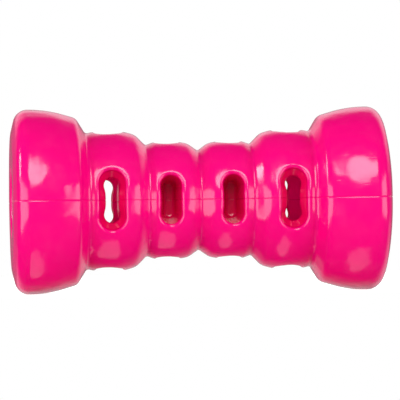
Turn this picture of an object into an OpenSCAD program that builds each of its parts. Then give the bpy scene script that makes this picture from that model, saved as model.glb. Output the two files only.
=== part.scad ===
// Spool-shaped rubber chew toy, moulded as two half shells that are bonded on a level seam.
// The long axis is X, the seam is the plane Z = 0, and the origin is the middle of the toy.

/* [Flanges] */
// Diameter over the widest part of each end flange
flange_d = 74; // [70:0.5:80]
// Length of each end flange, from the end face to the groove beside it
flange_w = 30; // [27:0.5:36]
// Diameter of the shoulder where the flange falls to the groove
shoulder_d = 66.8; // [64:0.2:68]
// Rounding of the outer corner of the end face
end_round = 7.2; // [4:0.2:9]
// How far the end face falls back between its flat land and the corner
end_crown = 2.3; // [0.8:0.1:3]

/* [Mouths and chambers] */
// Diameter of the round mouth in each end
mouth_d = 26; // [22:0.5:32]
// Length of the straight land of the mouth
mouth_land = 9; // [5:0.5:12]
// Rounding of the mouth's outer lip
lip_round = 2.5; // [1.5:0.1:3.5]
// Width of the flat ring round the mouth, on which the toy can stand
stand_ring = 12; // [6:0.5:13]
// Thickness of the wall between the chamber and the outer ring
wall = 5.4; // [4.5:0.1:6.5]
// Thickness of the wall between the chamber and the groove beside the flange
groove_wall = 4.2; // [3.6:0.1:5]
// Length of the solid waist between the two chambers
waist_w = 50; // [46:1:54]

/* [Rings] */
// Diameter over the crown of the two outer rings
outer_ring_d = 56.4; // [54:0.2:60]
// Length of each outer ring
outer_ring_w = 24; // [23:0.2:27]
// Diameter over the crown of the two inner rings
inner_ring_d = 47.4; // [46:0.2:50]
// Length of each inner ring
inner_ring_w = 21; // [20:0.2:23]
// Diameter at the bottom of the groove beside the flange
flange_groove_d = 54; // [52:0.2:55]
// Diameter at the bottom of the groove between an outer and an inner ring
ring_groove_d = 44.4; // [43:0.2:45.6]
// Diameter at the bottom of the groove in the middle
waist_groove_d = 39.6; // [38:0.2:43]

/* [Slots] */
// Width of an outer ring's slot where its walls meet the ring's face
outer_slot_w = 11; // [10:0.2:12]
// Width of an outer ring's slot at its throat
outer_throat_w = 6.4; // [5.6:0.1:8]
// Width of an inner ring's slot where its walls meet the ring's face
inner_slot_w = 8.4; // [7.6:0.2:10]
// Width of an inner ring's slot at its throat
inner_throat_w = 4.8; // [4.4:0.1:6]
// Depth of an inner ring's slot, which ends blind in the solid waist
pocket_depth = 15; // [9:0.5:16]
// Angle from the middle of a slot on the seam to the centre of its round end
seam_slot_turn = 13.2; // [11:0.2:16]
// Angle from the middle of an outer ring's slot on the crown to the centre of its round end
outer_crown_turn = 5.6; // [5:0.2:12]
// Angle from the middle of an inner ring's slot on the crown to the centre of its round end
inner_crown_turn = 4; // [3:0.2:12]
// How much each long side of a slot is drawn in at the ring's face
mouth_waist = 0.2; // [0.1:0.05:0.4]
// How much each long side of a slot is drawn in at its throat
throat_waist = 0.6; // [0.4:0.05:0.8]
// Rounding of the slots' lips
slot_lip = 1; // [0.6:0.1:1.4]
// Length of the straight land at a slot's throat
throat_land = 0.8; // [0.4:0.1:1.2]

/* [Hidden] */
magenta = [1, 0, 0.5];
arc_step = 16;
lip_step = 36;
room_share = 0.48;
overrun = 2;
overturn = 4;
half_turn = 180;
crown = 90;

flange_r = flange_d / 2;
shoulder_r = shoulder_d / 2;
mouth_r = mouth_d / 2;
outer_ring_r = outer_ring_d / 2;
inner_ring_r = inner_ring_d / 2;
flange_groove_r = flange_groove_d / 2;
ring_groove_r = ring_groove_d / 2;
waist_groove_r = waist_groove_d / 2;
chamber_r = outer_ring_r - wall;
neck_r = flange_groove_r - groove_wall;
pocket_floor_r = inner_ring_r - pocket_depth;

// Corners of the rings and flanges: their places as shares of the length, their falls from the
// widest radius, and their roundings
inner_ring_shares = [0.2, 0.4, 0.86];
outer_ring_shares = [0.18, 0.42, 0.92];
flange_shares = [0.13, 0.38, 0.66];
inner_ring_falls = [0.6, 0, 0.3];
outer_ring_falls = [1.1, 0, 0.5];
flange_fall = 1.3;
ring_rounds = [4, 20, 3];
groove_round = 0.8;
waist_groove_round = 1.2;
shoulder_round = 4;
flange_round = 30;
end_ease = 6;

// Corners of a chamber
funnel_share = 0.36;
chamber_share = 0.4;
floor_share = 0.6;
funnel_round = 1.8;
floor_round = 4;

// Stations along the axis, from the middle outwards
inner_slot_share = 0.59;
outer_slot_share = 0.62;
ring_groove_x = inner_ring_w;
flange_groove_x = ring_groove_x + outer_ring_w;
end_x = flange_groove_x + flange_w;
inner_slot_x = inner_ring_w * inner_slot_share;
outer_slot_x = ring_groove_x + outer_ring_w * outer_slot_share;

function unit(v) = v / norm(v);

// Points of a round corner at b, between a and c, kept inside the two sides
function corner(a, b, c, radius, step) =
    let (
        u = unit(a - b),
        v = unit(c - b),
        half = acos(max(-1, min(1, u * v))) / 2,
        room = room_share * min(norm(a - b), norm(c - b)),
        r = min(radius, room * tan(half)),
        centre = b + unit(u + v) * r / sin(half),
        start = b + u * r / tan(half) - centre,
        turn = half_turn - 2 * half,
        sweep = sign(u[1] * v[0] - u[0] * v[1]) * turn,
        steps = ceil(turn / step)
    )
    [for (i = [0:steps])
        let (t = sweep * i / steps)
        centre + [start[0] * cos(t) - start[1] * sin(t), start[0] * sin(t) + start[1] * cos(t)]];

// An outline through corners given as [x, y, rounding], with its first and last point kept sharp
function rounded(corners) =
    let (n = len(corners))
    [for (i = [0:n - 1])
        let (
            a = corners[max(i - 1, 0)],
            b = corners[i],
            c = corners[min(i + 1, n - 1)]
        )
        each (b[2] > 0
            ? corner([a[0], a[1]], [b[0], b[1]], [c[0], c[1]], b[2], arc_step)
            : [[b[0], b[1]]])];

// Corners of one ring that starts at station x
function ring(x, length, shares, r, falls) =
    [for (i = [0:len(shares) - 1]) [x + length * shares[i], r - falls[i], ring_rounds[i]]];

// Outside of one half of the length, as [x, radius, rounding], from the middle to the mouth
outside = concat(
    ring(0, inner_ring_w, inner_ring_shares, inner_ring_r, inner_ring_falls),
    [[ring_groove_x, ring_groove_r, groove_round]],
    ring(ring_groove_x, outer_ring_w, outer_ring_shares, outer_ring_r, outer_ring_falls),
    [
        [flange_groove_x, flange_groove_r, groove_round],
        [flange_groove_x + flange_w * flange_shares[0], shoulder_r, shoulder_round],
        [flange_groove_x + flange_w * flange_shares[1], flange_r - flange_fall, flange_round],
        [flange_groove_x + flange_w * flange_shares[2], flange_r, flange_round],
        [end_x - end_crown, flange_r, end_round],
        [end_x, mouth_r + lip_round + stand_ring, end_ease],
        [end_x, mouth_r, lip_round]
    ]
);

// Chamber in one half of the length, from the mouth back to the solid waist
inside = [
    [end_x - lip_round - mouth_land, mouth_r, funnel_round],
    [flange_groove_x + flange_w * funnel_share, neck_r, funnel_round],
    [flange_groove_x, neck_r, 0],
    [outer_slot_x + outer_slot_w / 2, chamber_r, 0],
    [ring_groove_x + outer_ring_w * chamber_share, chamber_r, floor_round],
    [waist_w / 2, chamber_r * floor_share, floor_round],
    [waist_w / 2, 0, 0]
];

function mirrored(points) = [for (i = [len(points) - 1:-1:0]) [-points[i][0], points[i][1], points[i][2]]];

half_length = concat(outside, inside);
section = concat(mirrored(half_length), [[0, waist_groove_r, waist_groove_round]], half_length);

// Half width of a slot against the distance from the toy's axis, from its bottom out past its lip
function slot_side(throat, mouth, bottom_r, throat_r, face_r) = concat(
    [[throat, bottom_r], [throat, throat_r]],
    corner([throat, throat_r], [mouth, face_r], [mouth + 2 * slot_lip, face_r], slot_lip, lip_step),
    [[mouth + overrun, face_r + overrun]]
);

// The sides of a slot at its round ends and along its drawn-in middle
function slot_sides(throat, mouth, bottom_r, throat_r, face_r) = [
    slot_side(throat, mouth, bottom_r, throat_r, face_r),
    slot_side(throat - throat_waist, mouth - mouth_waist, bottom_r, throat_r, face_r)
];

outer_sides = slot_sides(
    outer_throat_w / 2, outer_slot_w / 2,
    chamber_r - overrun, chamber_r + throat_land, outer_ring_r
);
inner_sides = slot_sides(
    inner_throat_w / 2, inner_slot_w / 2,
    pocket_floor_r, pocket_floor_r + throat_land, inner_ring_r
);

// Long stretch of a slot, curved about the toy's axis, which is Z here
module slot_band(side, from, to) {
    rotate(from)
        rotate_extrude(angle = to - from)
            polygon(concat(
                [for (p = side) [p[1], p[0]]],
                [for (i = [len(side) - 1:-1:0]) [side[i][1], -side[i][0]]]
            ));
}

// Round end of a slot, turned about a line that points away from the toy's axis
module slot_end(side, turn) {
    rotate(turn)
        rotate([0, 90, 0])
            rotate_extrude()
                polygon(concat([[0, side[0][1]]], side, [[0, side[len(side) - 1][1]]]));
}

// One slot between two angles, with a round end at each angle in ends
module slot(sides, from, to, ends) {
    slot_band(sides[1], from, to);
    for (turn = ends)
        slot_end(sides[0], turn);
}

// The slots of one ring: half a slot at each seam and a whole one at the crown
module ring_slots(sides, crown_turn) {
    slot(sides, -overturn, seam_slot_turn, [seam_slot_turn]);
    slot(sides, crown - crown_turn, crown + crown_turn, [crown - crown_turn, crown + crown_turn]);
    slot(sides, half_turn - seam_slot_turn, half_turn + overturn, [half_turn - seam_slot_turn]);
}

// Half of the toy, turned about its axis and cut by the slots of its four rings
module half_shell() {
    rotate([0, 90, 0])
        rotate(crown)
            difference() {
                rotate_extrude(angle = half_turn)
                    polygon([for (p = rounded(section)) [p[1], p[0]]]);
                for (way = [-1, 1]) {
                    translate([0, 0, way * inner_slot_x])
                        ring_slots(inner_sides, inner_crown_turn);
                    translate([0, 0, way * outer_slot_x])
                        ring_slots(outer_sides, outer_crown_turn);
                }
            }
}

module upper_half_shell() {
    color(magenta)
        half_shell();
}

module lower_half_shell() {
    color(magenta)
        rotate([180, 0, 0])
            half_shell();
}

upper_half_shell();
lower_half_shell();
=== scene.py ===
"""Spool-shaped rubber chew toy: two glossy half shells that meet on a level seam, and their studio."""
import math
from typing import Callable, NamedTuple

import bmesh
import bpy
from bpy.props import FloatProperty, FloatVectorProperty, PointerProperty
from mathutils import Matrix, Vector, noise


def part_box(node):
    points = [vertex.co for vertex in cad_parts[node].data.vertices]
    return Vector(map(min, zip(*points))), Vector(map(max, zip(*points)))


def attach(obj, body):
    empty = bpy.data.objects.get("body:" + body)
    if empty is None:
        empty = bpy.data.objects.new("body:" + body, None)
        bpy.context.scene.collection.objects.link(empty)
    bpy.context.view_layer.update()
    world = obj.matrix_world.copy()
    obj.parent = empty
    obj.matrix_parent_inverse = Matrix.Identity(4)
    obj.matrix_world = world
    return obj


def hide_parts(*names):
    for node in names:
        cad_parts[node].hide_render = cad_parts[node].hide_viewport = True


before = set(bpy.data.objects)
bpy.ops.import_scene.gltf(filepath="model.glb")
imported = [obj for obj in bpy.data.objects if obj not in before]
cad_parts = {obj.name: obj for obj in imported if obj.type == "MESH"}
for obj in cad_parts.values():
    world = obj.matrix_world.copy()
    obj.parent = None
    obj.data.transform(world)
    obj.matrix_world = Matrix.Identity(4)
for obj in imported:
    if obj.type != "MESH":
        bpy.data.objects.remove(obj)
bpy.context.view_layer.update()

bl_info = {
    "name": "Rubber chew toy",
    "version": (1, 0, 0),
    "blender": (4, 5, 0),
    "location": "3D View > Sidebar > Chew Toy",
    "description": "Spool-shaped rubber chew toy with slotted rings, made as two half shells",
    "category": "Object",
}

MM = 0.001
TINY = 1e-6
QUARTER = math.pi / 4
CROWN = 2 * QUARTER

# Moulded rubber is never quite true: its surface wanders in metres, at so many waves a metre
WAVE_SEED = 1
SLOW_WAVE, SLOW_WAVES = 0.00007, 38
QUICK_WAVE, QUICK_WAVES = 0.00004, 110
WAVE_ROOM = 0.13 * MM
SHELL_LOW, SHELL_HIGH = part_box("upper_half_shell")
END_X = SHELL_HIGH[0] - WAVE_ROOM
FLANGE_R = SHELL_HIGH[2] - WAVE_ROOM

# Corners of a ring or flange: share of its length, then fall from its crown and rounding in millimetres
INNER_RING_CORNERS = ((0.2, 0.9, 6), (0.42, 0.05, 20), (0.64, 0, 60), (0.86, 0.4, 4))
OUTER_RING_CORNERS = ((0.18, 1.6, 6), (0.42, 0.1, 20), (0.66, 0, 60), (0.91, 0.6, 4))
FLANGE_CORNERS = ((0.38, 1.3, 30), (0.56, 0.25, 40), (0.72, 0, 60))
SHOULDER_SHARE, SHOULDER_ROUND = 0.13, 4 * MM
WAIST_GROOVE_ROUND = 1.2 * MM
RING_GROOVE_ROUND = 1.4 * MM
FLANGE_GROOVE_ROUND = 1.6 * MM
END_EASE = 6 * MM

# Corners of a chamber: where its funnel ends and where its floor begins to round, as shares
FUNNEL_SHARE, FUNNEL_ROUND = 0.36, 1.8 * MM
CHAMBER_SHARE, CHAMBER_ROUND = 0.4, 4 * MM
CHAMBER_FLOOR_SHARE = 0.6

# Turn between two points of a rounded corner, and the share of a side that its two corners may use up
ARC_STEP = math.radians(7)
SIDE_SHARE = 0.96

# Longest steps along the flange's skin and along the chamber's floor
SKIN_GAP = 1.5 * MM
CHAMBER_FLOOR_GAP = 2 * MM

# Places of the slots as shares of their ring's length, and the roundings at their bottom
INNER_SLOT_SHARE = 0.59
OUTER_SLOT_SHARE = 0.62
POCKET_ROUND = 1.2 * MM
THROAT_ROUND = 0.9 * MM
# How much of its reach a slot keeps at its bottom
DEEP_SHARE = 0.88

# Lines round a quarter of a slot, and the share of the quarter between the seam and the line beside it
TURN_STEPS = 14
ACROSS_STEPS = 8
SEAM_SHARE = 0.010
# Rows on a ring's face, and the power that crowds them towards its border
FACE_ROWS = 16
CROWDING = 1.35
# Rows on a slot's lip, wall and bottom rounding, and the half widths of those on a pocket's floor, as shares
LIP_ROWS = 6
WALL_ROWS = 7
ROUND_ROWS = 4
POCKET_FLOOR_SHARES = (0.7, 0.35, 0)
# Rows on a chamber's wall, and the stretch of the wall that they cover
CHAMBER_ROWS = 6
CHAMBER_SPAN = (29 * MM, 44 * MM)

# Points this close are one point, and edges this short are none
JOIN_WITHIN = 2e-6
NO_LENGTH = 1e-7

# How deep in a slot its painted shade, a deeper red, begins, and over what depth it grows to the full
SHADE_FROM = 0.6 * MM
SHADE_OVER = 1.4 * MM

# Greys of the surroundings that the gloss mirrors, from straight below at 0 to straight above at 1
BACKDROP = (
    (0.0, 0.1), (0.12, 0.22), (0.3, 0.6), (0.4, 0.6), (0.46, 0.16),
    (0.56, 0.16), (0.67, 1.0), (0.78, 1.0), (0.88, 0.08),
)
# Turn of the backdrop's middle from straight behind the toy
BACKDROP_TURN = math.radians(20)
# Where the backdrop begins and is full, from 0 at its sides to 1 in its middle
BACKDROP_STARTS, BACKDROP_FULL = 0.4, 0.85

# From the toy's middle to each softbox, in metres
LAMP_DISTANCE = 1.2
# Name, azimuth and elevation in degrees, size in metres, glow and shape of each softbox
SOFTBOXES = (
    ("front_softbox", -4, 37, (0.66, 0.72), 4.8, "ELLIPSE"),
    ("left_softbox", -60, -4, (1.4, 0.8), 2.4, "RECTANGLE"),
    ("right_softbox", 54, 0, (0.9, 0.8), 2.3, "RECTANGLE"),
    ("under_softbox", 0, -87, (0.3, 1.0), 0.7, "ELLIPSE"),
    ("left_strip", -97, 22, (0.2, 0.4), 8.0, "RECTANGLE"),
)

# Half the floor's width, its front and back edge, and how far the camera sees it lifted to white
FLOOR_SIDE, FLOOR_FRONT, FLOOR_BACK = 0.5, -0.075, 0.8
FLOOR_LIFT = 0.85
# Camera's sensor in millimetres, and the nearest and farthest that it sees in metres
SENSOR_W = 36
CLIP_START, CLIP_END = 0.05, 20


class ShellSizes(bpy.types.PropertyGroup):
    """Sizes of the toy's body, in metres"""

    flange_w: FloatProperty(name="Flange length", description="From the end face to the groove beside it",
                            default=0.030, unit="LENGTH")
    shoulder_r: FloatProperty(name="Shoulder radius", description="Where the flange falls to the groove",
                              default=0.0334, unit="LENGTH")
    end_round: FloatProperty(name="End rounding", description="Rounding of the outer corner of the end face",
                             default=0.0072, unit="LENGTH")
    end_crown: FloatProperty(name="End crown", description="How far the end face falls back to its corner",
                             default=0.0023, unit="LENGTH")
    mouth_r: FloatProperty(name="Mouth radius", description="Round mouth in each end",
                           default=0.013, unit="LENGTH")
    mouth_land: FloatProperty(name="Mouth land", description="Straight land inside the mouth",
                              default=0.009, unit="LENGTH")
    lip_round: FloatProperty(name="Mouth lip", description="Rounding of the mouth's outer lip",
                             default=0.0025, unit="LENGTH")
    stand_ring: FloatProperty(name="Stand ring", description="Flat ring round the mouth",
                              default=0.012, unit="LENGTH")
    chamber_r: FloatProperty(name="Chamber radius", description="Chamber under the outer ring",
                             default=0.0228, unit="LENGTH")
    waist_w: FloatProperty(name="Solid waist", description="Length between the two chambers",
                           default=0.050, unit="LENGTH")
    outer_ring_r: FloatProperty(name="Outer ring radius", description="Crown of the two outer rings",
                                default=0.0282, unit="LENGTH")
    outer_ring_w: FloatProperty(name="Outer ring length", description="Length of each outer ring",
                                default=0.024, unit="LENGTH")
    inner_ring_r: FloatProperty(name="Inner ring radius", description="Crown of the two inner rings",
                                default=0.0237, unit="LENGTH")
    inner_ring_w: FloatProperty(name="Inner ring length", description="Length of each inner ring",
                                default=0.021, unit="LENGTH")
    flange_groove_r: FloatProperty(name="Flange groove radius", description="Groove beside the flange",
                                   default=0.0270, unit="LENGTH")
    ring_groove_r: FloatProperty(name="Ring groove radius", description="Groove between outer and inner ring",
                                 default=0.0222, unit="LENGTH")
    waist_groove_r: FloatProperty(name="Waist groove radius", description="Groove in the middle",
                                  default=0.0198, unit="LENGTH")


class SlotSizes(bpy.types.PropertyGroup):
    """Sizes of the slots through the rings, in metres"""

    outer_mouth: FloatProperty(name="Outer slot half width", description="At the ring's face",
                               default=0.0052, unit="LENGTH")
    outer_throat: FloatProperty(name="Outer throat half width", description="At the wall's inside",
                                default=0.0032, unit="LENGTH")
    inner_mouth: FloatProperty(name="Inner slot half width", description="At the ring's face",
                               default=0.0042, unit="LENGTH")
    inner_throat: FloatProperty(name="Inner throat half width", description="At the bottom of the slot",
                                default=0.0024, unit="LENGTH")
    pocket_depth: FloatProperty(name="Pocket depth", description="Depth of an inner ring's blind slot",
                                default=0.015, unit="LENGTH")
    outer_seam_reach: FloatProperty(name="Outer seam slot",
                                    description="From its middle to its round end's centre",
                                    default=0.00644, unit="LENGTH")
    inner_seam_reach: FloatProperty(name="Inner seam slot",
                                    description="From its middle to its round end's centre",
                                    default=0.0054, unit="LENGTH")
    outer_crown_reach: FloatProperty(name="Outer crown slot",
                                     description="From its middle to its round end's centre",
                                     default=0.00275, unit="LENGTH")
    inner_crown_reach: FloatProperty(name="Inner crown slot",
                                     description="From its middle to its round end's centre",
                                     default=0.00165, unit="LENGTH")
    mouth_pinch: FloatProperty(name="Mouth pinch", description="How far a long side bows in at the mouth",
                               default=0.0002, unit="LENGTH")
    throat_pinch: FloatProperty(name="Throat pinch", description="How far a long side bows in at the throat",
                                default=0.0007, unit="LENGTH")
    lip: FloatProperty(name="Lip rounding", description="Rounding of the slots' lips",
                       default=0.0014, unit="LENGTH")
    seam_depth: FloatProperty(name="Seam depth", description="Depth of the fine groove along the seam",
                              default=0.0002, unit="LENGTH")


class RubberFinish(bpy.types.PropertyGroup):
    """Colours and gloss of the rubber, with the painted shade in its slots and the painted light on its
    chambers' walls
    """

    pink: FloatVectorProperty(name="Pink", description="Colour of the rubber", subtype="COLOR", size=3,
                              min=0, max=1, default=(0.93, 0.0, 0.2))
    deep_pink: FloatVectorProperty(name="Deep pink", description="Colour of its slightly darker clouds",
                                   subtype="COLOR", size=3, min=0, max=1, default=(0.89, 0.0, 0.185))
    # Painted shade: the deeper red that stands in for the shade inside the slots
    slot_shade_red: FloatVectorProperty(name="Slot red", description="Deeper colour that the slots have inside",
                                  subtype="COLOR", size=3, min=0, max=1, default=(0.74, 0.0, 0.08))
    # Painted light: the lighter pink that stands in for light falling on the chambers' walls
    painted_light_pink: FloatVectorProperty(name="Lit pink", description="Lighter colour of the chambers' walls",
                                  subtype="COLOR", size=3, min=0, max=1, default=(1.0, 0.0, 0.22))
    roughness: FloatProperty(name="Roughness", description="Roughness of the moulded gloss",
                             default=0.13, min=0, max=1, subtype="FACTOR")
    scuffed: FloatProperty(name="Scuffed roughness", description="Roughness where the gloss is rubbed",
                           default=0.2, min=0, max=1, subtype="FACTOR")


class StudioSettings(bpy.types.PropertyGroup):
    """Camera and surrounding light"""

    azimuth: FloatProperty(name="Azimuth", description="Turn of the camera round the toy, from the front",
                           default=math.radians(-5.2), subtype="ANGLE")
    elevation: FloatProperty(name="Elevation", description="Camera's height angle over the toy's axis",
                             default=math.radians(-0.9), subtype="ANGLE")
    roll: FloatProperty(name="Roll", description="Tilt of the toy in the picture",
                        default=math.radians(0.8), subtype="ANGLE")
    distance: FloatProperty(name="Distance", description="From the camera to the toy's middle",
                            default=1.25, unit="LENGTH")
    aside: FloatProperty(name="Aside", description="How far the camera stands to the right of its line",
                         default=0.0009, unit="LENGTH")
    lens: FloatProperty(name="Lens", description="Focal length for a 36 mm sensor, in millimetres",
                        default=280.2)
    fill: FloatProperty(name="Fill", description="Strength of the surrounding light", default=0.49, min=0)
    dark_room: FloatProperty(name="Dark room", description="What the gloss mirrors from the camera's side",
                             default=0.012, min=0)


def sized(group):
    """The sizes that the sidebar shows for one group."""
    return getattr(bpy.context.scene, group)


def half_angle(a, b, c):
    """Half the angle between the two sides that meet at b."""
    return math.acos(max(-1.0, min(1.0, (a - b).normalized().dot((c - b).normalized())))) / 2


def round_corner(a, b, c, reach):
    """Points of the arc that rounds corner b and meets its two sides at the same reach from it."""
    u, v = (a - b).normalized(), (c - b).normalized()
    half = half_angle(a, b, c)
    centre = b + (u + v).normalized() * (reach / math.cos(half))
    start = b + u * reach - centre
    turn = math.pi - 2 * half
    way = 1 if u.y * v.x - u.x * v.y > 0 else -1
    steps = max(2, math.ceil(turn / ARC_STEP))
    points = []
    for i in range(steps + 1):
        t = way * turn * i / steps
        points.append(centre + Vector((start.x * math.cos(t) - start.y * math.sin(t),
                                       start.x * math.sin(t) + start.y * math.cos(t))))
    return points


def rounded(corners):
    """An outline through (x, radius, rounding) corners, with its first and last point kept sharp."""
    flat = [Vector((x, r)) for x, r, _ in corners]
    middle = range(1, len(corners) - 1)
    reach = [0.0] * len(corners)
    for i in middle:
        reach[i] = corners[i][2] / math.tan(half_angle(flat[i - 1], flat[i], flat[i + 1]))
    fit = [1.0] * len(corners)
    for i, (a, b) in enumerate(zip(flat, flat[1:])):
        share = SIDE_SHARE * (b - a).length / max(reach[i] + reach[i + 1], TINY * MM)
        fit[i], fit[i + 1] = min(fit[i], share), min(fit[i + 1], share)
    points = [flat[0]]
    for i in middle:
        points += round_corner(flat[i - 1], flat[i], flat[i + 1], reach[i] * fit[i])
    return points + [flat[-1]]


def evened(points, gap):
    """The outline with its long straight stretches divided so that no step is over the gap."""
    out = [points[0]]
    for a, b in zip(points, points[1:]):
        steps = max(1, math.ceil((b - a).length / gap))
        out += [a.lerp(b, (i + 1) / steps) for i in range(steps)]
    return out


def crowned(start, length, radius, corners):
    """Corners of one ring or flange that starts at a place on the axis."""
    return [(start + length * share, radius - fall * MM, rounding * MM) for share, fall, rounding in corners]


def outside_corners(shell):
    """Outside of half the toy's length, from just past the middle groove to inside the mouth."""
    ring_end = shell.inner_ring_w
    flange_x = ring_end + shell.outer_ring_w
    inner_ring = crowned(0, shell.inner_ring_w, shell.inner_ring_r, INNER_RING_CORNERS)
    first_x, first_r, _ = inner_ring[0]
    return [
        (-first_x, first_r, 0),
        (0, shell.waist_groove_r, WAIST_GROOVE_ROUND),
        *inner_ring,
        (ring_end, shell.ring_groove_r, RING_GROOVE_ROUND),
        *crowned(ring_end, shell.outer_ring_w, shell.outer_ring_r, OUTER_RING_CORNERS),
        (flange_x, shell.flange_groove_r, FLANGE_GROOVE_ROUND),
        (flange_x + shell.flange_w * SHOULDER_SHARE, shell.shoulder_r, SHOULDER_ROUND),
        *crowned(flange_x, shell.flange_w, FLANGE_R, FLANGE_CORNERS),
        (END_X - shell.end_crown, FLANGE_R, shell.end_round),
        (END_X, shell.mouth_r + shell.lip_round + shell.stand_ring, END_EASE),
        (END_X, shell.mouth_r, shell.lip_round),
        (END_X - shell.lip_round - shell.mouth_land, shell.mouth_r, 0),
    ]


def inside_corners(shell):
    """Chamber in half the toy's length, from the mouth's land back to its floor."""
    flange_x = shell.inner_ring_w + shell.outer_ring_w
    return [
        (END_X - shell.lip_round, shell.mouth_r, 0),
        (END_X - shell.lip_round - shell.mouth_land, shell.mouth_r, FUNNEL_ROUND),
        (flange_x + shell.flange_w * FUNNEL_SHARE, shell.chamber_r, FUNNEL_ROUND),
        (shell.inner_ring_w + shell.outer_ring_w * CHAMBER_SHARE, shell.chamber_r, CHAMBER_ROUND),
        (shell.waist_w / 2, shell.chamber_r * CHAMBER_FLOOR_SHARE, CHAMBER_ROUND),
        (shell.waist_w / 2, 0, 0),
    ]


def height_on(points):
    """A function that reads an outline's radius at x, for a stretch that never turns back."""
    points = sorted(points, key=lambda p: p.x)

    def height(x):
        for a, b in zip(points, points[1:]):
            if x <= b.x:
                return a.y + (b.y - a.y) * max(0.0, x - a.x) / max(b.x - a.x, TINY * MM)
        return points[-1].y
    return height


def turn_shares(at_seam):
    """Where the lines run between the middle of a quarter and its edge, with two close to the seam."""
    shares = [i / TURN_STEPS for i in range(TURN_STEPS + 1)]
    return [0, SEAM_SHARE, 2 * SEAM_SHARE, *shares[1:]] if at_seam else shares


def half_turns():
    """Angles of all lengthwise lines of one half shell, from the front seam over the crown to the back."""
    seam = [QUARTER * t for t in turn_shares(True)]
    crown = [QUARTER * t for t in turn_shares(False)]
    return [
        *seam,
        *[CROWN - t for t in reversed(crown[:-1])],
        *[CROWN + t for t in crown[1:]],
        *[2 * CROWN - t for t in reversed(seam[:-1])],
    ]


def station_quarter(at_seam, reach, width):
    """A quarter of the loop round a slot, as (border x, border turn, along, normal across, normal along)."""
    side = reach + width * QUARTER
    stations = []
    for t in turn_shares(at_seam):
        run = t * side
        bend = max(0.0, run - reach) / width
        stations.append((1, t, min(1.0, run / reach), math.cos(bend), math.sin(bend)))
    for i in range(1, ACROSS_STEPS + 1):
        bend = QUARTER * (1 + i / ACROSS_STEPS)
        stations.append((1 - i / ACROSS_STEPS, 1, 1, math.cos(bend), math.sin(bend)))
    return stations


def station_loop(at_seam, reach, width):
    """The loop round a slot: half of it where the seam cuts the slot, and all of it at the crown."""
    quarter = station_quarter(at_seam, reach, width)
    upper = quarter + [(-bx, bt, c, -nx, nt) for bx, bt, c, nx, nt in reversed(quarter[:-1])]
    if at_seam:
        return upper
    lower = [(bx, -bt, -c, nx, -nt) for bx, bt, c, nx, nt in reversed(upper[1:-1])]
    return upper + lower + [upper[0]]


class Slot(NamedTuple):
    """One slot: its place, its sizes at the ring's face and at its throat, and what it ends in"""

    x: float
    at_seam: bool
    mouth: float
    throat: float
    reach: float
    mouth_pinch: float
    throat_pinch: float
    bottom_round: float
    floor_r: float = 0.0
    chamber: Callable = None


def slots_on_rings(at_seam, chamber):
    """The slot of the inner and of the outer ring, each with the stretch of the axis that its ring covers."""
    shell, slots = sized("toy_shell"), sized("toy_slots")
    ring_end = shell.inner_ring_w
    pocket = Slot(
        x=ring_end * INNER_SLOT_SHARE, at_seam=at_seam, mouth=slots.inner_mouth, throat=slots.inner_throat,
        reach=slots.inner_seam_reach if at_seam else slots.inner_crown_reach,
        mouth_pinch=slots.mouth_pinch, throat_pinch=slots.mouth_pinch,
        bottom_round=POCKET_ROUND, floor_r=shell.inner_ring_r - slots.pocket_depth,
    )
    window = Slot(
        x=ring_end + shell.outer_ring_w * OUTER_SLOT_SHARE, at_seam=at_seam,
        mouth=slots.outer_mouth, throat=slots.outer_throat,
        reach=slots.outer_seam_reach if at_seam else slots.outer_crown_reach,
        mouth_pinch=slots.mouth_pinch, throat_pinch=slots.throat_pinch,
        bottom_round=THROAT_ROUND, chamber=chamber,
    )
    return ((0, ring_end), pocket), ((ring_end, ring_end + shell.outer_ring_w), window)


def around(x, radius, turn, way):
    """A point at a turn about the toy's axis, in the half of its length that way names."""
    return Vector((way * x, -radius * math.cos(turn), radius * math.sin(turn)))


def skin_row(height, starts, ends, share, way):
    """A row on a turned surface, part of the way from one line of (x, turn) places to another."""
    row = []
    for (x_start, turn_start), (x_end, turn_end) in zip(starts, ends):
        x = x_start + (x_end - x_start) * share
        row.append(around(x, height(x), turn_start + (turn_end - turn_start) * share, way))
    return row


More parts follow.
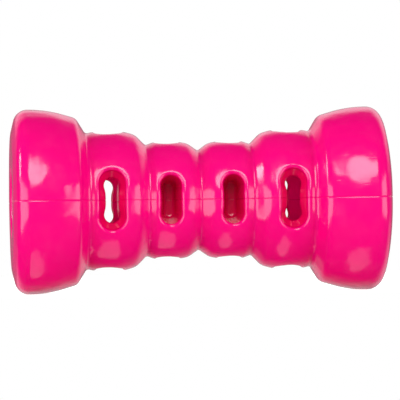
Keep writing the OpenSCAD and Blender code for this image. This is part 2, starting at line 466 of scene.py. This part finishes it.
def slot_rows(slot, span, height, way):
    """Rows of points from a ring's border in to a slot's lip, down its wall, and to its floor or chamber."""
    lip = sized("toy_slots").lip
    middle = 0 if slot.at_seam else CROWN
    stations = station_loop(slot.at_seam, slot.reach, slot.mouth)

    def loop(width, pinch, reach):
        """The slot's outline on the unrolled ring, as steps across and along it."""
        points = []
        for _, _, along, across, round_end in stations:
            drawn_in = pinch * math.cos(along * along * math.pi / 2) ** 2 * abs(across)
            points.append((across * (width - drawn_in), along * reach + round_end * width))
        return points

    def placed(points, depths):
        """The outline's points in the toy's frame, each at its distance from the toy's axis."""
        return [Vector((way * (slot.x + u), -depth * math.cos(middle) + v * math.sin(middle),
                        depth * math.sin(middle) + v * math.cos(middle)))
                for (u, v), depth in zip(points, depths)]

    def depths_on(surface, points):
        """Distance from the toy's axis, square to the slot, at which each point meets a turned surface."""
        return [math.sqrt(surface(slot.x + u) ** 2 - v * v) for u, v in points]

    def turned(surface, points):
        """The outline's (x, turn) places on a turned surface."""
        return [(slot.x + u, middle + math.asin(v / surface(slot.x + u))) for u, v in points]

    def border(low, high):
        """The (x, turn) places on the border of the slot's grid, between two places on the axis."""
        return [((low + high) / 2 + bx * (high - low) / 2, middle + bt * QUARTER)
                for bx, bt, _, _, _ in stations]

    edge = loop(slot.mouth + lip, slot.mouth_pinch, slot.reach)
    face = depths_on(height, edge)
    rows = [skin_row(height, border(*span), turned(height, edge), (i / FACE_ROWS) ** CROWDING, way)
            for i in range(FACE_ROWS)]
    for i in range(LIP_ROWS + 1):
        bend = math.pi / 2 * i / LIP_ROWS
        points = loop(slot.mouth + lip * (1 - math.sin(bend)), slot.mouth_pinch, slot.reach)
        rows.append(placed(points, [d - lip * (1 - math.cos(bend)) for d in face]))

    flare = slot.bottom_round if slot.chamber else -slot.bottom_round
    deep_reach = slot.reach * DEEP_SHARE
    last = loop(slot.throat + flare, slot.throat_pinch, deep_reach)
    bottom = depths_on(slot.chamber, last) if slot.chamber else [slot.floor_r] * len(last)
    for i in range(1, WALL_ROWS + 1):
        share = i / WALL_ROWS
        points = loop(slot.mouth + (slot.throat - slot.mouth) * share,
                      slot.mouth_pinch + (slot.throat_pinch - slot.mouth_pinch) * share,
                      slot.reach + (deep_reach - slot.reach) * share)
        rows.append(placed(points, [(d - lip) + (b + slot.bottom_round - d + lip) * share
                                    for d, b in zip(face, bottom)]))
    for i in range(1, ROUND_ROWS + 1):
        bend = math.pi / 2 * i / ROUND_ROWS
        points = loop(slot.throat + flare * (1 - math.cos(bend)), slot.throat_pinch, deep_reach)
        rows.append(placed(points, [b + slot.bottom_round * (1 - math.sin(bend)) for b in bottom]))

    if slot.chamber:
        starts, ends = turned(slot.chamber, last), border(*CHAMBER_SPAN)
        rows += [skin_row(slot.chamber, starts, ends, i / CHAMBER_ROWS, way)
                 for i in range(1, CHAMBER_ROWS + 1)]
    else:
        for share in POCKET_FLOOR_SHARES:
            points = loop((slot.throat - slot.bottom_round) * share, slot.throat_pinch * share, deep_reach)
            rows.append(placed(points, bottom))
    return rows


def add_grid(bm, rows):
    """Quads between rows of points that all have the same number."""
    verts = [[bm.verts.new(p) for p in row] for row in rows]
    for low, high in zip(verts, verts[1:]):
        for i in range(len(low) - 1):
            bm.faces.new((low[i], low[i + 1], high[i + 1], high[i]))


def add_turned(bm, points, way):
    """A surface turned half way round the toy's axis from an outline."""
    turns = half_turns()
    add_grid(bm, [[around(p.x, p.y, t, way) for t in turns] for p in points])


def add_half_length(bm, outside, inside, height, way):
    """Half of the shell's length: its slotted rings, its flange and mouth, and its chamber's floor."""
    shell = sized("toy_shell")
    low, high = CHAMBER_SPAN
    chamber = height_on([p for p in inside if p.x > shell.waist_w / 2 + TINY])
    front = [slot_rows(slot, span, height, way) for span, slot in slots_on_rings(True, chamber)]
    top = [slot_rows(slot, span, height, way) for span, slot in slots_on_rings(False, chamber)]
    back = [[[Vector((p.x, -p.y, p.z)) for p in row] for row in rows] for rows in front]
    for rows in (*front, *top, *back):
        add_grid(bm, rows)

    flange_x = shell.inner_ring_w + shell.outer_ring_w
    flange = [p for p in outside if p.x > flange_x + TINY][:-1]
    mouth = [p for p in inside if high + TINY < p.x < END_X - shell.lip_round - TINY]
    skin = [Vector((flange_x, height(flange_x))), *flange, *mouth, Vector((high, chamber(high)))]
    add_turned(bm, evened(skin, SKIN_GAP), way)
    floor = [Vector((low, chamber(low))), *[p for p in inside if p.x < low - TINY]]
    add_turned(bm, evened(floor, CHAMBER_FLOOR_GAP), way)


def waved(point):
    """The point, moved by the slow and the quick waves of the moulded surface."""
    slow, quick = noise.noise_vector(point * SLOW_WAVES), noise.noise_vector(point * QUICK_WAVES)
    return point + slow * SLOW_WAVE + quick * QUICK_WAVE


def close_on_seam(bm):
    """Sinks the shell's rim for the fine line of the seam, waves the surface, and closes it on the seam."""
    depth = sized("toy_slots").seam_depth
    rim = [v for v in bm.verts if v.is_boundary]
    bm.normal_update()
    sunk = {v: v.co - Vector((v.normal.x, v.normal.y, 0)).normalized() * depth for v in rim}
    for v in bm.verts:
        v.co = waved(sunk.get(v, v.co))
    for v in rim:
        v.co.z = 0
    edges = [e for e in bm.edges if e.is_boundary]
    for e in edges:
        e.smooth = False
    bmesh.ops.triangle_fill(bm, edges=edges, use_beauty=True, use_dissolve=False)


def inside_shares(point, height):
    """How deep a point lies in a slot, from 0 at its lip to 1 well inside, as its share of painted shade, and
    1 for a chamber's wall, which gets painted light.
    """
    shell = sized("toy_shell")
    x, radius = abs(point.x), math.hypot(point.y, point.z)
    in_flange = x > shell.inner_ring_w + shell.outer_ring_w
    in_chamber = x > shell.waist_w / 2 - WAVE_ROOM and radius < shell.chamber_r + WAVE_ROOM
    if in_flange or in_chamber:
        return 0.0, float(in_chamber)
    # The share of painted shade in a slot grows with depth below the ring's face
    return max(0.0, min(1.0, (height(x) - radius - SHADE_FROM) / SHADE_OVER)), 0.0


def half_shell(name, node, up):
    """One half shell as a closed mesh: up is 1 for the half above the seam and -1 for the half below."""
    shell = sized("toy_shell")
    outside, inside = rounded(outside_corners(shell)), rounded(inside_corners(shell))
    height = height_on([p for p in outside if p.x < END_X - shell.end_round])
    bm = bmesh.new()
    for way in (-1, 1):
        add_half_length(bm, outside, inside, height, way)
    bmesh.ops.remove_doubles(bm, verts=bm.verts, dist=JOIN_WITHIN)
    bmesh.ops.dissolve_degenerate(bm, edges=bm.edges, dist=NO_LENGTH)
    bmesh.ops.recalc_face_normals(bm, faces=bm.faces)
    close_on_seam(bm)
    if up < 0:
        bmesh.ops.scale(bm, vec=(1, 1, -1), verts=bm.verts)
    bmesh.ops.recalc_face_normals(bm, faces=bm.faces)
    for face in bm.faces:
        face.smooth = True
    mesh = bpy.data.meshes.new(name)
    bm.to_mesh(mesh)
    bm.free()
    # Masks for the painted shade in the slots and the painted light on the chambers' walls
    deep = mesh.attributes.new("painted_slot_shade", "FLOAT", "POINT")
    room = mesh.attributes.new("in_chamber", "FLOAT", "POINT")
    for v, deep_value, room_value in zip(mesh.vertices, deep.data, room.data):
        deep_value.value, room_value.value = inside_shares(v.co, height)
    piece = bpy.data.objects.new(name, mesh)
    bpy.context.scene.collection.objects.link(piece)
    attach(piece, "root")
    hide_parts(node)
    return piece


def set_inputs(node, values):
    """Sets a node's sockets to constants, by their names."""
    for name, value in values.items():
        node.inputs[name].default_value = value


def add_noise(tree, place, values):
    """A noise texture at a place, with its constants; returns its height."""
    texture = tree.nodes.new("ShaderNodeTexNoise")
    set_inputs(texture, values)
    tree.links.new(place, texture.inputs["Vector"])
    return texture.outputs["Fac"]


def add_range(tree, value, values):
    """A value carried from one range to another."""
    ramp = tree.nodes.new("ShaderNodeMapRange")
    set_inputs(ramp, values)
    tree.links.new(value, ramp.inputs["Value"])
    return ramp.outputs["Result"]


def add_bump(tree, height, strength, distance, under=None):
    """A bump from a height, laid over the one under it; returns its normal."""
    bump = tree.nodes.new("ShaderNodeBump")
    set_inputs(bump, {"Strength": strength, "Distance": distance})
    tree.links.new(height, bump.inputs["Height"])
    if under is not None:
        tree.links.new(under, bump.inputs["Normal"])
    return bump.outputs["Normal"]


def add_tint(tree, factor, under, colour):
    """A colour laid by a factor over the one under it, which is a constant or comes from a socket."""
    mix = tree.nodes.new("ShaderNodeMix")
    mix.data_type = "RGBA"
    set_inputs(mix, {"B": (*colour, 1)})
    tree.links.new(factor, mix.inputs["Factor"])
    if isinstance(under, bpy.types.NodeSocket):
        tree.links.new(under, mix.inputs["A"])
    else:
        set_inputs(mix, {"A": (*under, 1)})
    return mix.outputs["Result"]


def add_measure(tree, name):
    """A measure that the mesh carries at its points."""
    measure = tree.nodes.new("ShaderNodeAttribute")
    measure.attribute_name = name
    return measure.outputs["Fac"]


def rubber():
    """Glossy moulded rubber: clouds of colour, painted shade in the slots, painted light on the chambers'
    walls, swell, orange peel, scuffs and fine scratches.
    """
    finish = sized("toy_rubber")
    mat = bpy.data.materials.new("pink_rubber")
    mat.use_nodes = True
    tree = mat.node_tree
    skin = tree.nodes["Principled BSDF"]
    set_inputs(skin, {"Specular IOR Level": 0.75})
    place = tree.nodes.new("ShaderNodeTexCoord").outputs["Object"]

    clouds = add_noise(tree, place, {"Scale": 60, "Detail": 3})
    colour = add_tint(tree, clouds, finish.pink, finish.deep_pink)
    # Painted shade: inward from their lips the slots turn a deeper red, standing in for the shade inside them
    colour = add_tint(tree, add_measure(tree, "painted_slot_shade"), colour, finish.slot_shade_red)
    # Painted light: the chambers' walls turn a lighter pink, standing in for light that enters them through
    # the mouths and slots
    colour = add_tint(tree, add_measure(tree, "in_chamber"), colour, finish.painted_light_pink)
    tree.links.new(colour, skin.inputs["Base Color"])

    scuffs = add_noise(tree, place, {"Scale": 190, "Detail": 4})
    gloss = add_range(tree, scuffs, {
        "From Min": 0.45, "From Max": 0.7, "To Min": finish.roughness, "To Max": finish.scuffed})
    tree.links.new(gloss, skin.inputs["Roughness"])

    swell = add_noise(tree, place, {"Scale": 130, "Detail": 1})
    peel = add_noise(tree, place, {"Scale": 700, "Detail": 3, "Roughness": 0.6})
    lay = tree.nodes.new("ShaderNodeMapping")
    set_inputs(lay, {"Rotation": (0.2, 0.4, 0.1), "Scale": (45, 900, 700)})
    tree.links.new(place, lay.inputs["Vector"])
    scratches = add_noise(tree, lay.outputs["Vector"], {"Scale": 1, "Detail": 1})
    thin = add_range(tree, scratches, {"From Min": 0.64, "From Max": 0.74, "To Min": 1, "To Max": 0})
    normal = add_bump(tree, swell, strength=0.4, distance=0.8 * MM)
    normal = add_bump(tree, peel, strength=0.04, distance=0.2 * MM, under=normal)
    normal = add_bump(tree, thin, strength=0.08, distance=0.2 * MM, under=normal)
    tree.links.new(normal, skin.inputs["Normal"])
    return mat


def floor_material():
    """Plain white floor: only the camera sees it lifted to the backdrop's white."""
    mat = bpy.data.materials.new("floor_white")
    mat.use_nodes = True
    tree = mat.node_tree
    skin = tree.nodes["Principled BSDF"]
    set_inputs(skin, {"Base Color": (0.8, 0.8, 0.8, 1), "Roughness": 0.9, "Specular IOR Level": 0.0,
                      "Emission Color": (1, 1, 1, 1)})
    rays = tree.nodes.new("ShaderNodeLightPath")
    lift = tree.nodes.new("ShaderNodeMath")
    lift.operation = "MULTIPLY"
    lift.inputs[1].default_value = FLOOR_LIFT
    tree.links.new(rays.outputs["Is Camera Ray"], lift.inputs[0])
    tree.links.new(lift.outputs["Value"], skin.inputs["Emission Strength"])
    return mat


def add_floor():
    """White floor below the toy, which the gloss doesn't mirror."""
    mesh = bpy.data.meshes.new("floor")
    corners = [(-FLOOR_SIDE, FLOOR_FRONT, 0), (FLOOR_SIDE, FLOOR_FRONT, 0),
               (FLOOR_SIDE, FLOOR_BACK, 0), (-FLOOR_SIDE, FLOOR_BACK, 0)]
    mesh.from_pydata(corners, [], [(0, 1, 2, 3)])
    floor = bpy.data.objects.new("floor", mesh)
    floor.location.z = SHELL_LOW[2] - FLANGE_R
    floor.data.materials.append(floor_material())
    bpy.context.scene.collection.objects.link(floor)
    floor.visible_glossy = floor.visible_shadow = False


def add_backdrop(tree):
    """The greys that the gloss mirrors: a ramp by height on the far side, and a dark room on the camera's."""
    ways = tree.nodes.new("ShaderNodeTexCoord")
    swing = tree.nodes.new("ShaderNodeMapping")
    set_inputs(swing, {"Rotation": (0, 0, BACKDROP_TURN)})
    split = tree.nodes.new("ShaderNodeSeparateXYZ")
    tree.links.new(ways.outputs["Generated"], swing.inputs["Vector"])
    tree.links.new(swing.outputs["Vector"], split.inputs["Vector"])
    ramp = tree.nodes.new("ShaderNodeValToRGB")
    levels = ramp.color_ramp
    levels.elements[0].position, levels.elements[1].position = BACKDROP[0][0], BACKDROP[-1][0]
    for place, _ in BACKDROP[1:-1]:
        levels.elements.new(place)
    for stop, (_, grey) in zip(levels.elements, BACKDROP):
        stop.color = (grey, grey, grey, 1)
    tree.links.new(add_range(tree, split.outputs["Z"], {"From Min": -1.0}), ramp.inputs["Fac"])
    behind = tree.nodes.new("ShaderNodeMapRange")
    behind.interpolation_type = "SMOOTHSTEP"
    set_inputs(behind, {"From Min": BACKDROP_STARTS, "From Max": BACKDROP_FULL,
                        "To Min": sized("toy_studio").dark_room})
    tree.links.new(split.outputs["Y"], behind.inputs["Value"])
    tree.links.new(ramp.outputs["Color"], behind.inputs["To Max"])
    return behind.outputs["Result"]


def light_world():
    """Even surrounding light, the backdrop in the gloss, and white for the camera."""
    world = bpy.data.worlds.new("studio")
    bpy.context.scene.world = world
    world.use_nodes = True
    tree = world.node_tree
    sky = tree.nodes["Background"]
    set_inputs(sky, {"Color": (1, 1, 1, 1)})
    rays = tree.nodes.new("ShaderNodeLightPath")
    mirrored = tree.nodes.new("ShaderNodeMath")
    mirrored.operation = "MAXIMUM"
    tree.links.new(rays.outputs["Is Glossy Ray"], mirrored.inputs[0])
    tree.links.new(rays.outputs["Is Transmission Ray"], mirrored.inputs[1])
    lit = tree.nodes.new("ShaderNodeMix")
    set_inputs(lit, {"A": sized("toy_studio").fill})
    tree.links.new(mirrored.outputs["Value"], lit.inputs["Factor"])
    tree.links.new(add_backdrop(tree), lit.inputs["B"])
    level = tree.nodes.new("ShaderNodeMix")
    set_inputs(level, {"B": 1.0})
    tree.links.new(rays.outputs["Is Camera Ray"], level.inputs["Factor"])
    tree.links.new(lit.outputs["Result"], level.inputs["A"])
    tree.links.new(level.outputs["Result"], sky.inputs["Strength"])


def direction(azimuth, elevation):
    """The way from the toy to a place at an azimuth from the front and an elevation, in radians."""
    return Vector((math.sin(azimuth) * math.cos(elevation),
                   -math.cos(azimuth) * math.cos(elevation),
                   math.sin(elevation)))


def add_softbox(name, azimuth, elevation, size, glow, shape):
    """A lamp that faces the toy from an angle in degrees, with its glow as radiance."""
    light = bpy.data.lights.new(name, "AREA")
    light.shape = shape
    light.size, light.size_y = size
    light.energy = glow * math.pi * size[0] * size[1] * (math.pi / 4 if shape == "ELLIPSE" else 1)
    lamp = bpy.data.objects.new(name, light)
    away = direction(math.radians(azimuth), math.radians(elevation))
    lamp.location = away * LAMP_DISTANCE
    lamp.rotation_euler = (-away).to_track_quat("-Z", "Y").to_euler()
    bpy.context.scene.collection.objects.link(lamp)


def add_camera():
    """Camera at the photograph's angle."""
    studio, scene = sized("toy_studio"), bpy.context.scene
    data = bpy.data.cameras.new("camera")
    data.lens = studio.lens
    data.sensor_width = SENSOR_W
    data.clip_start, data.clip_end = CLIP_START, CLIP_END
    camera = bpy.data.objects.new("camera", data)
    away = direction(studio.azimuth, studio.elevation)
    across = Vector((math.cos(studio.azimuth), math.sin(studio.azimuth), 0))
    camera.location = away * studio.distance + across * studio.aside
    aim = (-away).to_track_quat("-Z", "Y") @ Matrix.Rotation(-studio.roll, 4, "Z").to_quaternion()
    camera.rotation_euler = aim.to_euler()
    scene.collection.objects.link(camera)
    scene.camera = camera


class TOY_OT_half_shells(bpy.types.Operator):
    """Make the two half shells of the chew toy"""

    bl_idname = "toy.half_shells"
    bl_label = "Half shells"

    def execute(self, context):
        finish = rubber()
        for side, up in (("upper", 1), ("lower", -1)):
            half_shell(side + "_shell", side + "_half_shell", up).data.materials.append(finish)
        return {"FINISHED"}


class TOY_OT_stage(bpy.types.Operator):
    """Make the floor, the surrounding light, the softboxes and the camera"""

    bl_idname = "toy.stage"
    bl_label = "Stage"

    def execute(self, context):
        add_floor()
        light_world()
        for softbox in SOFTBOXES:
            add_softbox(*softbox)
        add_camera()
        context.scene.view_settings.view_transform = "Standard"
        return {"FINISHED"}


class TOY_PT_sidebar(bpy.types.Panel):
    """Lists the toy's pieces and its stage"""

    bl_label = "Chew Toy"
    bl_space_type = "VIEW_3D"
    bl_region_type = "UI"
    bl_category = "Chew Toy"

    def draw(self, context):
        for maker in (TOY_OT_half_shells, TOY_OT_stage):
            self.layout.operator(maker.bl_idname)
        for group in GROUPS:
            box = self.layout.box()
            settings = getattr(context.scene, group)
            for name in settings.__annotations__:
                box.prop(settings, name)


GROUPS = {
    "toy_shell": ShellSizes,
    "toy_slots": SlotSizes,
    "toy_rubber": RubberFinish,
    "toy_studio": StudioSettings,
}
CLASSES = (*GROUPS.values(), TOY_OT_half_shells, TOY_OT_stage, TOY_PT_sidebar)


def register():
    """Adds the classes and their settings."""
    for cls in CLASSES:
        bpy.utils.register_class(cls)
    for name, group in GROUPS.items():
        setattr(bpy.types.Scene, name, PointerProperty(type=group))


def unregister():
    """Takes the classes and their settings away again."""
    for name in GROUPS:
        delattr(bpy.types.Scene, name)
    for cls in reversed(CLASSES):
        bpy.utils.unregister_class(cls)


def main():
    """Makes the toy and its stage."""
    register()
    noise.seed_set(WAVE_SEED)
    bpy.ops.toy.half_shells()
    bpy.ops.toy.stage()


if __name__ == "__main__":
    main()
